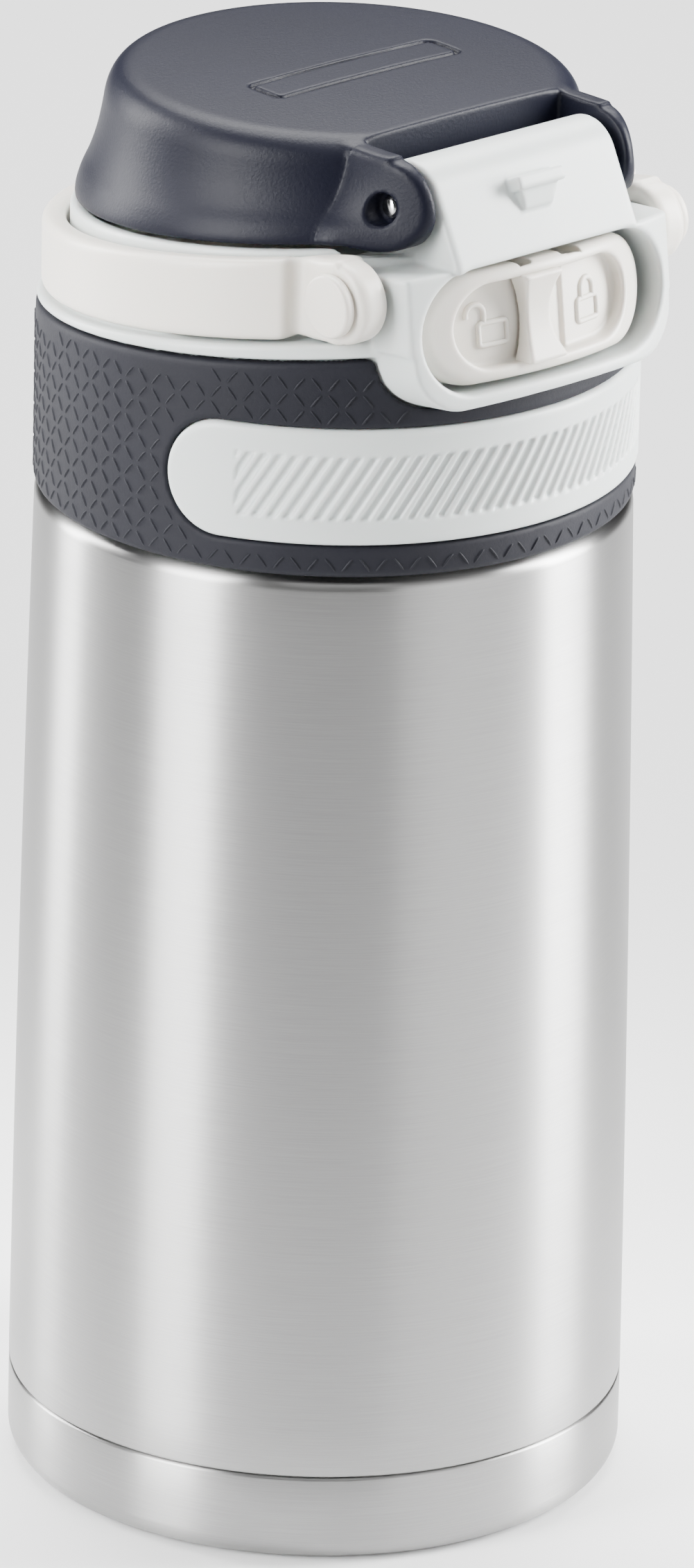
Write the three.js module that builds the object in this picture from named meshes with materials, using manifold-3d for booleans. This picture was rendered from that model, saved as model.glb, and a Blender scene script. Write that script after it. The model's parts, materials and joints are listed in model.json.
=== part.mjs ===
// Insulated travel mug: a vacuum flask of brushed steel and a screw lid with a flip cap that a front
// button releases, a lock slider in the button, and a carry loop that swings over the cap.
// Millimetres, +Z up. The origin is the centre of the flat underside, the button faces -Y.

import * as THREE from 'three';
import { mergeVertices } from 'three/addons/utils/BufferGeometryUtils.js';
import Module from 'manifold-3d';

const wasm = await Module();
wasm.setup();

// ---------------------------------------------------------------- driving dimensions

const GAP = 0.3;            // air left between two pieces that lie against each other
const FACETS = 40;          // sides of the large round pieces
const HIDDEN_FACETS = 28;   // sides of the round pieces inside
const DEGREE = Math.PI / 180;

const flask = {
  cupR: 36.5, cupHeight: 10.9, cornerR: 3.0,   // base cup
  topR: 34.75, shoulderZ: 121.5,               // the body narrows a little to the lid
  neckR: 30.0, neckTop: 138.5,                 // neck that carries the screw thread
  innerR: 32.4, mouthR: 28.6, innerFloor: 13.0, // inner vessel
  wall: 0.6, spigotR: 35.3, spigotZ: 4.0,
};

const thread = { pitch: 4.0, turns: 1.5, rootWidth: 1.6, tipWidth: 0.9 };

const lid = {
  skirtR: 33.0, boreR: 31.6, skirtZ: 122.3,    // skirt that screws over the neck
  deckZ: 140.4, deckTop: 142.2, deckHoleR: 21,
  flangeR: 34.8, flangeZ: 145.7, flangeTop: 147.0,
  drumR: 31.0, drumBoreR: 29.4, rimZ: 157.3,   // wall that the cap closes on
  sleeveZ: 121.8, sleeveTop: 145.4,
};

// Everything above the flange rises towards the front: a plane z = height - slope * y.
const slope = { sleeve: 0.084, flange: 0.105, rim: 0.103, loopTop: 0.130, capTop: -0.02 };

const hinge = { y: -26.3, z: 164.7, pinR: 1.2, mouthR: 1.85, blockR: 4.8, blockHalf: 14.0, earR: 5.4,
                leanAngle: 153.4 };
const ear = { inner: 14.7, mouth: 16.6, outer: 18.2 };
const cap = { bottomR: 30.5, bottomZ: 157.8, topZ: 172.0, recessY: -20.1 };

// The front face leans back a little; pocket, button and slider are drawn in that leaning frame.
const face = { y: -36.2, z: 151.3, lean: 7.4 * DEGREE, curveR: 68 };
const pocket = { half: 17.8, radius: 6.8, depth: 8.6 };
const button = { half: 17.4, radius: 6.5, back: 6.0, front: 0.3, curveR: 38, recessDepth: 2.4 };
const slider = { x: -1.8, half: 2.3, height: 4.6, travel: 4.6 };

const loop = {
  outerR: 34.2, innerR: 31.4, bottomZ: 147.4, topZ: 156.5, armAngle: 55,
  pivotY: -26.5, pivotZ: 155.0, bossR: 4.8, bossOuter: 25.2, bossInner: 21.1, shaftR: 2.2, headR: 3.65,
};

const spout = { y: 11, outerR: 9.0, boreR: 7.0, top: 160.2, trayZ: 150.6, trayTop: 152.2 };
const vent = { y: -8, outerR: 3.0, boreR: 1.2, top: 158.0 };
const latch = { y: -22.8, z: 152.2, pinR: 0.7 };

// ---------------------------------------------------------------- building blocks

const vectors = (points) => points.map(([a, b]) => new THREE.Vector2(a, b));

/** Points of an arc about (a, b), from one angle to another in degrees. */
function arc(a, b, radius, from, to, steps) {
  const points = [];
  for (let i = 0; i <= steps; i += 1) {
    const angle = (from + (to - from) * i / steps) * DEGREE;
    points.push([a + radius * Math.cos(angle), b + radius * Math.sin(angle)]);
  }
  return points;
}

/** A closed three.js geometry as a solid, with its faces pointing out. */
function solid(geometry) {
  const bare = geometry.clone();
  bare.deleteAttribute('normal');
  bare.deleteAttribute('uv');
  const merged = mergeVertices(bare, 1e-4);
  const corners = merged.index.array;
  const triangles = [];
  for (let i = 0; i < corners.length; i += 3) {
    const [a, b, c] = corners.slice(i, i + 3);
    if (a !== b && b !== c && c !== a) triangles.push([a, b, c]);
  }
  const position = merged.attributes.position;
  let volume = 0;
  const [p, q, r] = [new THREE.Vector3(), new THREE.Vector3(), new THREE.Vector3()];
  for (const [a, b, c] of triangles) {
    p.fromBufferAttribute(position, a);
    q.fromBufferAttribute(position, b);
    r.fromBufferAttribute(position, c);
    volume += p.dot(q.cross(r));
  }
  const outward = volume > 0 ? triangles : triangles.map(([a, b, c]) => [a, c, b]);
  return new wasm.Manifold(new wasm.Mesh({
    numProp: 3,
    vertProperties: new Float32Array(position.array),
    triVerts: new Uint32Array(outward.flat()),
  }));
}

/** Moves every vertex of a geometry by a function of its place. */
function reshape(geometry, move) {
  const position = geometry.attributes.position;
  for (let i = 0; i < position.count; i += 1) {
    const [x, y, z] = move(position.getX(i), position.getY(i), position.getZ(i));
    position.setXYZ(i, x, y, z);
  }
  return geometry;
}

/** A profile of [radius, z] points turned about Z. */
function turned(profile, facets = FACETS) {
  return new THREE.LatheGeometry(vectors(profile), facets).rotateX(Math.PI / 2);
}

/** A turned ring whose profile closes on itself. */
const ring = (profile, facets) => turned([...profile, profile[0]], facets);

/** Tilts a turned piece: slopeAt gives how much each height rises towards the front. */
const tilted = (geometry, slopeAt) => reshape(geometry, (x, y, z) => [x, y, z - slopeAt(z) * y]);

/** Prisms of an outline: [x, y] points along Z, [y, z] points along X, [x, z] points along Y. */
function prismZ(points, low, high) {
  const shape = new THREE.Shape(vectors(points));
  const prism = new THREE.ExtrudeGeometry(shape, { depth: high - low, bevelEnabled: false });
  return prism.translate(0, 0, low);
}

function prismX(points, low, high) {
  return reshape(prismZ(points, low, high), (x, y, z) => [z, x, y]);
}

function prismY(points, low, high) {
  return prismZ(points, -high, -low).rotateX(Math.PI / 2);
}

/** A box between two corners. */
function box(low, high) {
  const size = high.map((value, i) => value - low[i]);
  const middle = high.map((value, i) => (value + low[i]) / 2);
  return new THREE.BoxGeometry(...size).translate(...middle);
}

/** A rod along X, between two x values, about (y, z). */
const rodX = (radius, y, z, low, high, sides = 20) =>
  prismX(arc(y, z, radius, 0, 360 - 360 / sides, sides - 1), low, high);

/** An outline with round ends: half its length along the first axis, and its radius. */
const stadium = (half, radius, steps = 8) => [
  ...arc(half - radius, 0, radius, -90, 90, steps),
  ...arc(radius - half, 0, radius, 90, 270, steps),
];

/** All space between two planes that rise towards the front. */
function slab(low, lowSlope, high, highSlope) {
  return reshape(new THREE.BoxGeometry(90, 90, 1), (x, y, z) =>
    [x, y, z < 0 ? low - lowSlope * y : high - highSlope * y]);
}

/** A helical ridge: from the root radius to the tip radius, starting at height z. */
function ridge(root, tip, z, start) {
  const steps = Math.round(thread.turns * 24);
  return reshape(new THREE.BoxGeometry(1, 1, 1, steps, 1, 1), (along, out, up) => {
    const turn = (along + 0.5) * thread.turns;
    const angle = turn * 2 * Math.PI + start;
    const radius = out < 0 ? root : tip;
    const width = out < 0 ? thread.rootWidth : thread.tipWidth;
    return [radius * Math.cos(angle), radius * Math.sin(angle), z + turn * thread.pitch + up * width];
  });
}

/** A pill bent round the Z axis on the front: half angle, half height, middle height, radii. */
function bentPill(halfAngle, halfHeight, middle, inner, outer) {
  const straight = halfAngle - halfHeight / outer;
  return reshape(new THREE.BoxGeometry(1, 1, 1, 40, 1, 1), (along, out, up) => {
    const angle = halfAngle * Math.sin(Math.PI * along);
    const past = Math.max(0, Math.abs(angle) - straight) * outer;
    const half = Math.max(0.9, Math.sqrt(Math.max(0, halfHeight ** 2 - past ** 2)));
    const radius = out < 0 ? outer : inner;
    return [radius * Math.sin(angle), -radius * Math.cos(angle), middle + 2 * up * half];
  });
}

/** A coil spring of round wire along Z, from one height to another. */
function coil(radius, wire, low, high, turns) {
  const points = [];
  const perTurn = 8;
  for (let i = 0; i <= turns * perTurn; i += 1) {
    const angle = 2 * Math.PI * i / perTurn;
    const height = low + (high - low) * i / (turns * perTurn);
    points.push(new THREE.Vector3(radius * Math.cos(angle), radius * Math.sin(angle), height));
  }
  const section = new THREE.Shape(vectors(arc(0, 0, wire, 0, 288, 4)));
  const path = new THREE.CatmullRomCurve3(points);
  return new THREE.ExtrudeGeometry(section, { steps: turns * perTurn, extrudePath: path });
}

/** Puts a geometry drawn about the face's centre into the leaning front frame. */
const leaned = (geometry) => geometry.rotateX(-face.lean).translate(0, face.y, face.z);

/** Straight stretches between [height, value] points, level before the first and after the last. */
function between(table, height) {
  if (height <= table[0][0]) return table[0][1];
  for (let i = 1; i < table.length; i += 1) {
    const [[lowZ, low], [highZ, high]] = [table[i - 1], table[i]];
    if (height <= highZ) return low + (high - low) * (height - lowZ) / (highZ - lowZ);
  }
  return table[table.length - 1][1];
}

const join = (first, ...others) => others.reduce((whole, part) => whole.add(part), first);
const cut = (first, ...others) => others.reduce((whole, part) => whole.subtract(part), first);
const mirrored = (make) => [1, -1].map(make);

/** The x values of a stretch on one side of the middle, lowest first. */
const span = (side, near, far) => (side > 0 ? [near, far] : [-far, -near]);

// ---------------------------------------------------------------- materials and the object

const finish = (color, roughness, metalness = 0) => ({ color, roughness, metalness });
const steel = finish(0xb9babc, 0.34, 1);
const pinSteel = finish(0xd5d6d8, 0.2, 1);
const charcoal = finish(0x2f3038, 0.55);
const softBlack = finish(0x2b2b33, 0.8);
const paleGrey = finish(0xcdd3d2, 0.45);
const offWhite = finish(0xe6e1da, 0.45);
const silicone = finish(0xe9ebea, 0.6);

const mug = new THREE.Group();

function add(name, body, look) {
  const { vertProperties, triVerts } = body.getMesh();
  const geometry = new THREE.BufferGeometry();
  geometry.setAttribute('position', new THREE.BufferAttribute(new Float32Array(vertProperties), 3));
  geometry.setIndex(new THREE.BufferAttribute(new Uint32Array(triVerts), 1));
  geometry.computeVertexNormals();
  const mesh = new THREE.Mesh(geometry, new THREE.MeshStandardMaterial(look));
  mesh.name = name;
  mug.add(mesh);
}

// ---------------------------------------------------------------- vacuum flask

function baseCup() {
  const { cupR, cupHeight, cornerR, wall } = flask;
  return solid(turned([
    [0, 0],
    ...arc(cupR - cornerR, cornerR, cornerR, -90, 0, 3),
    [cupR, cupHeight], [cupR - wall, cupHeight],
    ...arc(cupR - cornerR, cornerR, cornerR - wall, 0, -90, 3),
    [0, wall],
  ]));
}

function outerShell() {
  const { cupR, cupHeight, topR, shoulderZ, neckR, neckTop, wall, spigotR, spigotZ } = flask;
  const seam = cupHeight + GAP;
  const middle = (cupR + topR) / 2 + 0.1;
  const body = solid(ring([
    [spigotR, spigotZ], [spigotR, seam], [cupR, seam], [middle, (seam + shoulderZ) / 2],
    [topR, shoulderZ - 1.6], [topR - 0.3, shoulderZ - 0.7], [topR - 1.1, shoulderZ],
    [neckR + 0.6, shoulderZ], [neckR, shoulderZ + 0.6], [neckR, neckTop],
    [neckR - wall, neckTop], [neckR - wall, shoulderZ - wall], [topR - 1.3, shoulderZ - wall],
    [topR - wall, shoulderZ - 1.8], [middle - wall, (seam + shoulderZ) / 2], [cupR - wall, seam + wall],
    [spigotR - wall, seam + wall], [spigotR - wall, spigotZ],
  ]));
  return join(body, solid(ridge(neckR - wall / 2, neckR + 1.1, 125, 0)));
}

function innerVessel() {
  const { innerR, mouthR, innerFloor, neckTop, neckR, wall } = flask;
  const corner = 6;
  const thick = wall;
  return solid(turned([
    [0, innerFloor],
    ...arc(innerR - corner, innerFloor + corner, corner, -90, 0, 3),
    [innerR, 112], [mouthR, 118], [mouthR, neckTop - 0.5], [mouthR + 0.3, neckTop + GAP],
    [neckR, neckTop + GAP], [neckR, neckTop + 0.7], [neckR - 0.5, neckTop + 1.0],
    [mouthR - 0.2, neckTop + 1.0], [mouthR - thick, neckTop + 0.6],
    [mouthR - thick, 118.2], [innerR - thick, 112.2],
    ...arc(innerR - corner, innerFloor + corner, corner - thick, 0, -90, 3),
    [0, innerFloor + thick],
  ], HIDDEN_FACETS));
}

function vacuumBasePlate() {
  const rim = flask.spigotR - flask.wall - 0.4;
  return solid(turned([
    [0, 4.6], [5, 4.6], [6, 5.2], [rim - 2, 5.2], [rim, 6.4], [rim, 10.2],
    [rim - 0.6, 10.2], [rim - 0.6, 6.8], [rim - 2.4, 5.9], [5.6, 5.9], [4.6, 5.4], [0, 5.4],
  ], HIDDEN_FACETS));
}

const getter = () => solid(turned([[0, 5.8], [3.6, 5.8], [4.2, 6.4], [4.2, 7.6], [3.6, 8.0], [0, 8.0]], 20));

// ---------------------------------------------------------------- lid: fixed pieces

/** The front block in the leaning frame: a curved face, two sides and the U-shaped lobe below. */
function frontBlock() {
  const sagitta = (x) => face.curveR - Math.sqrt(face.curveR ** 2 - x ** 2);
  const front = [];
  for (let x = -19.4; x <= 19.5; x += 38.8 / 12) front.push([x, sagitta(x)]);
  const plan = [...front, [20.6, 4.6], [20.6, 15.5], [-20.6, 15.5], [-20.6, 4.6]];
  const outline = [
    [20.6, 7.3], [-20.6, 7.3], [-20.6, -1.5], [-19.4, -2.4],
    ...arc(-13.2, -2.4, 6.2, 180, 270, 6), ...arc(13.2, -2.4, 6.2, -90, 0, 6), [20.6, -1.5],
  ];
  return solid(leaned(prismZ(plan, -9, 8))).intersect(solid(leaned(prismY(outline, -1, 16))));
}

function hingeBlock() {
  const { y, z, blockR, blockHalf, leanAngle } = hinge;
  return solid(prismX([
    [y + blockR, 156.5], ...arc(y, z, blockR, 0, leanAngle, 9), [-35.2, 157.6], [-35.2, 156.5],
  ], -blockHalf, blockHalf));
}

/** Low wedge on the hinge block that the opened cap rests on. */
function restBump() {
  const out = (along, height) => {
    const lean = (180 - hinge.leanAngle) * DEGREE;
    const foot = [hinge.y - hinge.blockR * Math.cos(lean), hinge.z + hinge.blockR * Math.sin(lean)];
    return [
      foot[0] - along * Math.sin(lean) - height * Math.cos(lean),
      foot[1] - along * Math.cos(lean) + height * Math.sin(lean),
    ];
  };
  const profile = [out(1.2, -0.5), out(1.6, 1.3), out(2.6, 1.6), out(5.2, 0.3), out(5.2, -0.5)];
  return solid(prismX(profile, -3.6, 3.6));
}

/** Hollow under the hinge block, open to the back, that holds the hinge spring. */
function hingeHollow() {
  const { y, z, leanAngle } = hinge;
  return solid(prismX([
    [-20, 156], [-20, z - 1], [y + 3.15, z - 1], ...arc(y, z, 3.3, -17, leanAngle, 9),
    [-32.3, 160.2], [-26, 158.8], [-26, 156],
  ], -11.5, 11.5));
}

function lidHousing() {
  const slopeAt = (z) => between([[143, 0], [lid.flangeZ, slope.sleeve], [lid.flangeTop, slope.flange],
                                  [lid.rimZ, slope.rim]], z);
  const shell = solid(tilted(ring([
    [lid.boreR, lid.skirtZ], [lid.skirtR, lid.skirtZ], [lid.skirtR, lid.flangeZ],
    [lid.flangeR - 0.4, lid.flangeZ], [lid.flangeR, lid.flangeZ + 0.3], [lid.flangeR, lid.flangeTop - 0.3],
    [lid.flangeR - 0.4, lid.flangeTop], [lid.drumR, lid.flangeTop], [lid.drumR, lid.rimZ - 0.4],
    [lid.drumR - 0.4, lid.rimZ], [lid.drumBoreR, lid.rimZ], [lid.drumBoreR, lid.deckTop],
    [lid.deckHoleR, lid.deckTop], [lid.deckHoleR, lid.deckZ], [lid.boreR, lid.deckZ],
  ]), slopeAt));
  const innerThread = solid(ridge(lid.boreR + 0.5, flask.neckR + 0.5, 127, 0));
  const clearForCap = solid(box([-21, -40, 158.6], [21, -19.6, 164]));
  const coreR = lid.drumBoreR + 0.5;
  const drumCore = solid(turned([[0, 142], [coreR, 142], [coreR, 157], [0, 157]]));
  const dividingWall = solid(box([-28, -16, 142], [28, -14.6, 156.5])).intersect(drumCore);
  const bridges = mirrored((side) => {
    const [left, right] = span(side, 6, 28);
    return solid(box([left, -21, 155.1], [right, -15.5, 156.5])).intersect(drumCore);
  });
  const body = join(shell.subtract(clearForCap), innerThread, frontBlock(), hingeBlock(), dividingWall);
  const chamber = solid(box([-15.5, -26.2, 142.6], [15.5, -16, 156.9]));
  const pocketCut = solid(leaned(prismY(stadium(pocket.half, pocket.radius), -6, pocket.depth)));
  const stemSlot = solid(leaned(box([-3, 8, -5.4], [3, 12, -2.0])));
  const pinBore = solid(rodX(hinge.pinR + GAP, hinge.y, hinge.z, -16, 16));
  const neckSpace = solid(turned([[0, 120], [lid.boreR, 120], [lid.boreR, lid.deckZ], [0, lid.deckZ]]));
  const skirtOnly = neckSpace.subtract(innerThread);
  const aboutPivot = (radius, near, far, sides) => mirrored((side) =>
    solid(rodX(radius, loop.pivotY, loop.pivotZ, ...span(side, near, far), sides)));
  const pivotBores = aboutPivot(loop.shaftR + GAP, 18.1, 22);
  const bossSeats = aboutPivot(loop.bossR + GAP, 20.8, 27, 28);
  const hollowed = cut(body, chamber, skirtOnly, pocketCut, stemSlot, hingeHollow(), pinBore,
                       ...pivotBores, ...bossSeats);
  const lugs = mirrored((side) => {
    const [left, right] = span(side, 4, 5.8);
    return solid(box([left, -27, 149.9], [right, -21.2, 154.5]));
  });
  const lugBore = solid(rodX(latch.pinR + GAP, latch.y, latch.z, -7, 7, 12));
  return join(hollowed, restBump(), ...bridges, ...lugs.map((lug) => lug.subtract(lugBore)));
}

function gripSleeve() {
  const outer = lid.flangeR;
  const inner = lid.skirtR + GAP;
  const slopeAt = (z) => between([[140, 0], [lid.sleeveTop, slope.sleeve]], z);
  const band = solid(tilted(ring([
    [inner, lid.sleeveZ], [outer - 0.5, lid.sleeveZ], [outer, lid.sleeveZ + 0.7],
    [outer, lid.sleeveTop - 0.3], [outer - 0.3, lid.sleeveTop], [inner, lid.sleeveTop],
  ]), slopeAt));
  const lobe = [
    [19.7, 12], [-19.7, 12], ...arc(-13.2, -2.4, 6.5, 180, 270, 6), ...arc(13.2, -2.4, 6.5, -90, 0, 6),
  ];
  const window = bentPill(76 * DEGREE + GAP / outer, 6.9 + GAP, 132.6, inner - 1, outer + 2);
  return cut(band, solid(leaned(prismY(lobe, -3, 14))), solid(window));
}

const gripPad = () => solid(bentPill(76 * DEGREE, 6.9, 132.6, lid.skirtR + GAP, 35.1));

const stopperGroove = { low: 134.6, high: 138.0, radius: 25.8 };

function innerStopper() {
  const { low, high, radius } = stopperGroove;
  const body = solid(turned([
    [0, 138.6], [25, 138.6], [25, 131.6], [27.1, 131.6], [27.3, low], [radius, low], [radius, high],
    [27.3, high], [27.3, 140.1], [0, 140.1],
  ], HIDDEN_FACETS));
  const hole = solid(turned([[0, 130], [spout.boreR, 130], [spout.boreR, 145], [0, 145]], 24));
  const ventHole = solid(turned([[0, 130], [2, 130], [2, 145], [0, 145]], 12));
  return cut(body, hole.translate([0, spout.y, 0]), ventHole.translate([0, vent.y, 0]));
}

function neckGasket() {
  const { low, high, radius } = stopperGroove;
  const outer = flask.mouthR - flask.wall - GAP;
  return solid(ring([
    [radius + GAP, low + GAP], [outer - 0.5, low + GAP], [outer, low + 0.8], [outer - 0.5, low + 1.5],
    [outer, low + 2.2], [outer - 0.5, high - GAP], [radius + GAP, high - GAP],
  ], HIDDEN_FACETS));
}

function mouthpiece() {
  const { y, outerR, boreR, top, trayZ, trayTop } = spout;
  const rim = lid.drumBoreR - 0.4;
  const tray = solid(turned([[0, trayZ], [rim, trayZ], [rim, 153.6], [rim - 1.2, 153.6], [rim - 1.2, trayTop],
                             [0, trayTop]]));
  const front = solid(box([-40, -40, 140], [40, -14.2, 170]));
  const lip = 0.7;
  const tube = turned([[0, 142.8], [outerR, 142.8], [outerR, top - lip],
                       [outerR - lip, top], [0, top]], 32);
  const ventTube = turned([[0, 140.5], [vent.outerR, 140.5], [vent.outerR, vent.top], [0, vent.top]], 16);
  const bore = turned([[0, 140], [boreR, 140], [boreR, 165], [0, 165]], 32);
  const ventBore = turned([[0, 140], [vent.boreR, 140], [vent.boreR, 165], [0, 165]], 12);
  const body = join(tray.subtract(front), solid(tube.translate(0, y, 0)),
                    solid(ventTube.translate(0, vent.y, 0)));
  return cut(body, solid(bore.translate(0, y, 0)), solid(ventBore.translate(0, vent.y, 0)));
}

const mouthpieceGasket = () => solid(ring([
  [spout.boreR + 0.3, 140.4], [9.2, 140.4], [8.8, 141.0],
  [9.2, 141.6], [8.8, 142.5], [spout.boreR + 0.3, 142.5],
], 32).translate(0, spout.y, 0));

// ---------------------------------------------------------------- flip cap

const capSlope = (z) => between([[cap.bottomZ, slope.rim], [171, slope.capTop]], z);

function capEar(side) {
  const profile = [
    [-18.6, 170.2], [-21.0, 170.3], ...arc(hinge.y, hinge.z, hinge.earR, 75, 275, 12), [-18.6, 159.9],
  ];
  return solid(prismX(profile, ...span(side, ear.inner, ear.outer)));
}

function flipCap() {
  const outer = solid(tilted(turned([
    [0, cap.bottomZ], [cap.bottomR, cap.bottomZ], [30.5, 158.8], [30.0, 160.3], [28.9, 162.4], [28.1, 164.5],
    [27.6, 166.5], [27.1, 168.4], [26.4, 170.0], [24.6, 171.2], [20, 171.7], [0, cap.topZ],
  ]), capSlope));
  const hollow = solid(tilted(turned([
    [0, 150], [28.6, 150], [28.6, cap.bottomZ], [27.9, 160.2], [26.3, 163], [25.6, 166], [24.8, 168.4],
    [23.4, 169.5], [0, 169.9],
  ]), capSlope));
  const { recessY } = cap;
  const recess = solid(box([-ear.inner, -40, 150], [ear.inner, recessY, 180]));
  const wallBlock = solid(box([-17, -40, 150], [17, recessY + 1.8, 180])).intersect(outer);
  const shell = cut(join(outer.subtract(hollow), wallBlock), recess);
  const catchTab = solid(prismX([
    [-18.6, 161], [-18.6, 155.0], [-20.6, 155.0], [-20.6, 155.9], [recessY, 156.2], [recessY, 161],
  ], -3, 3));
  const bores = mirrored((side) => join(
    solid(rodX(hinge.pinR + GAP, hinge.y, hinge.z, ...span(side, 13, 22))),
    solid(rodX(hinge.mouthR, hinge.y, hinge.z, ...span(side, ear.mouth, 22))),
  ));
  return cut(join(shell, catchTab, capEar(1), capEar(-1)), ...bores);
}

function capLiner() {
  const plate = solid(turned([
    [0, 163.0], [24.0, 163.0], [24.2, 164.4], [22.6, 164.4], [22.2, 169.0], [20.8, 169.0],
    [20.8, 164.4], [0, 164.4],
  ]));
  return plate.subtract(solid(box([-40, -40, 150], [40, -17.6, 180])));
}

const spoutSeal = () => solid(turned([
  [0, 158.0], [5.6, 158.0], [6.3, 158.8], [6.3, 160.5], [9.4, 160.5], [9.4, 162.7], [0, 162.7],
], 32).translate(0, spout.y, 0));

const ventSeal = () => solid(turned([
  [0, 158.3], [2.8, 158.3], [3.2, 158.8], [3.2, 162.7], [0, 162.7],
], 16).translate(0, vent.y, 0));

const hingePin = () => solid(rodX(hinge.pinR, hinge.y, hinge.z, -17.2, 17.2, 16));

/** Torsion spring about the hinge pin: a coil turned onto X. */
const hingeSpring = () => solid(
  coil(2.2, 0.35, -4, 4, 5).rotateY(Math.PI / 2).translate(0, hinge.y, hinge.z),
);

// ---------------------------------------------------------------- carry loop

/** Space on the inside of an arm, below its pivot, that lets it swing up past the round drum. */
function armRelief(side) {
  const { bossR, pivotY, pivotZ } = loop;
  const reach = 21;
  const profile = [[bossR, 18]];
  for (let radius = bossR; radius <= reach; radius += (reach - bossR) / 9) {
    profile.push([radius, Math.sqrt(lid.drumR ** 2 - (pivotY + radius) ** 2) + 1.5 * GAP]);
  }
  profile.push([reach, 18]);
  const swept = reshape(ring(profile, 48), (x, y, z) => [side * z, pivotY + x, pivotZ + y]);
  return solid(swept).intersect(solid(box([-40, -40, 130], [40, 0, pivotZ])));
}

function carryLoop() {
  const { bossR, bossOuter, bossInner, pivotY, pivotZ, bottomZ, topZ, shaftR } = loop;
  const { outerR, innerR, armAngle } = loop;
  const innerStart = Math.acos(bossInner / innerR) / DEGREE;
  const plan = [
    [bossOuter, pivotY], [bossOuter, -22.0], [26.2, -20.9],
    ...arc(0, 0, outerR, armAngle - 90, 270 - armAngle, 30),
    [-26.2, -20.9], [-bossOuter, -22.0], [-bossOuter, pivotY],
    [-bossInner, pivotY], ...arc(0, 0, innerR, 180 + innerStart, -innerStart, 32), [bossInner, pivotY],
  ];
  const layer = solid(slab(bottomZ, slope.flange, topZ, slope.loopTop));
  const band = solid(prismZ(plan, 140, 168)).intersect(layer);
  const strap = cut(band, ...mirrored(armRelief));
  const aboutPivot = (radius, near, far, sides) => mirrored((side) =>
    solid(rodX(radius, pivotY, pivotZ, ...span(side, near, far), sides)));
  const bosses = aboutPivot(bossR, bossInner, bossOuter, 28);
  const bores = aboutPivot(shaftR + GAP, 18, 28);
  return cut(join(strap, ...bosses), ...bores);
}

function loopPivot(side) {
  const { bossOuter, headR, shaftR, pivotY, pivotZ } = loop;
  return join(
    solid(rodX(shaftR, pivotY, pivotZ, ...span(side, 18.4, bossOuter + 1))),
    solid(rodX(headR, pivotY, pivotZ, ...span(side, bossOuter + GAP, bossOuter + 1.5), 28)),
  );
}

// ---------------------------------------------------------------- release button, lock and latch

const facedCylinder = (radius, front) => leaned(
  turned([[0, -10], [radius, -10], [radius, 10], [0, 10]], 120).translate(0, front + radius, 0));

function releaseButton() {
  const { half, radius, back, front, curveR, recessDepth } = button;
  const block = solid(leaned(prismY(stadium(half, radius, 10), -2, back)))
    .intersect(solid(facedCylinder(curveR, front)));
  const floor = solid(facedCylinder(curveR - recessDepth, front + recessDepth));
  const recess = solid(leaned(prismY(stadium(12.2, 4.9), -3, back))).subtract(floor);
  const slotLow = slider.x - 1.8;
  const slot = solid(leaned(box([slotLow, -2, -1.8], [slotLow + 3.6 + slider.travel, 8, 1.8])));
  const stem = solid(leaned(box([-2.5, back - 0.5, -4.9], [2.5, 12.4, -2.5])));
  return join(cut(block, recess, slot), stem);
}

function lockSlider() {
  const { x, half, height } = slider;
  const rib = solid(leaned(prismY([
    [x - half, -height], [x + half, -height], [x + half, height], [x - half, height],
  ], -1, 2.4))).intersect(solid(facedCylinder(button.curveR + 0.5, -0.2)));
  return join(rib, solid(leaned(box([x - 1.5, 2, -1.5], [x + 1.5, 6.3, 1.5]))));
}

const buttonSpring = (x) => solid(leaned(
  coil(1.6, 0.22, 0, 1.6, 3).rotateX(-Math.PI / 2).translate(x, 6.55, 0.5)));

function latchLever() {
  const { y, z, pinR } = latch;
  const arm = prismX([
    [y - 0.9, 145.3], [y + 0.5, 145.3], [y + 0.6, 156.2],
    [y + 1.9, 156.3], [y + 1.7, 157.6], [y - 0.7, 157.6],
  ], -3, 3);
  const hub = rodX(1.9, y, z, -3, 3, 16);
  return join(solid(arm), solid(hub)).subtract(solid(rodX(pinR + GAP, y, z, -5, 5, 12)));
}

const latchPin = () => solid(rodX(latch.pinR, latch.y, latch.z, -5.6, 5.6, 12));

// ---------------------------------------------------------------- assembly

add('base_cup', baseCup(), steel);
add('outer_shell', outerShell(), steel);
add('inner_vessel', innerVessel(), steel);
add('vacuum_base_plate', vacuumBasePlate(), steel);
add('getter', getter(), pinSteel);

add('lid_housing', lidHousing(), paleGrey);
add('grip_sleeve', gripSleeve(), softBlack);
add('grip_pad', gripPad(), paleGrey);
add('inner_stopper', innerStopper(), offWhite);
add('neck_gasket', neckGasket(), silicone);
add('mouthpiece', mouthpiece(), offWhite);
add('mouthpiece_gasket', mouthpieceGasket(), silicone);

add('flip_cap', flipCap(), charcoal);
add('cap_liner', capLiner(), paleGrey);
add('spout_seal', spoutSeal(), silicone);
add('vent_seal', ventSeal(), silicone);
add('hinge_pin', hingePin(), pinSteel);
add('hinge_spring', hingeSpring(), pinSteel);

add('carry_loop', carryLoop(), offWhite);
add('loop_pivot_right', loopPivot(1), offWhite);
add('loop_pivot_left', loopPivot(-1), offWhite);

add('release_button', releaseButton(), offWhite);
add('lock_slider', lockSlider(), offWhite);
add('button_spring_right', buttonSpring(9), pinSteel);
add('button_spring_left', buttonSpring(-9), pinSteel);
add('latch_lever', latchLever(), offWhite);
add('latch_pin', latchPin(), pinSteel);

export default mug;
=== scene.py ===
"""Looks of the insulated travel mug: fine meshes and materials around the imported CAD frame."""

import json
import math

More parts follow.
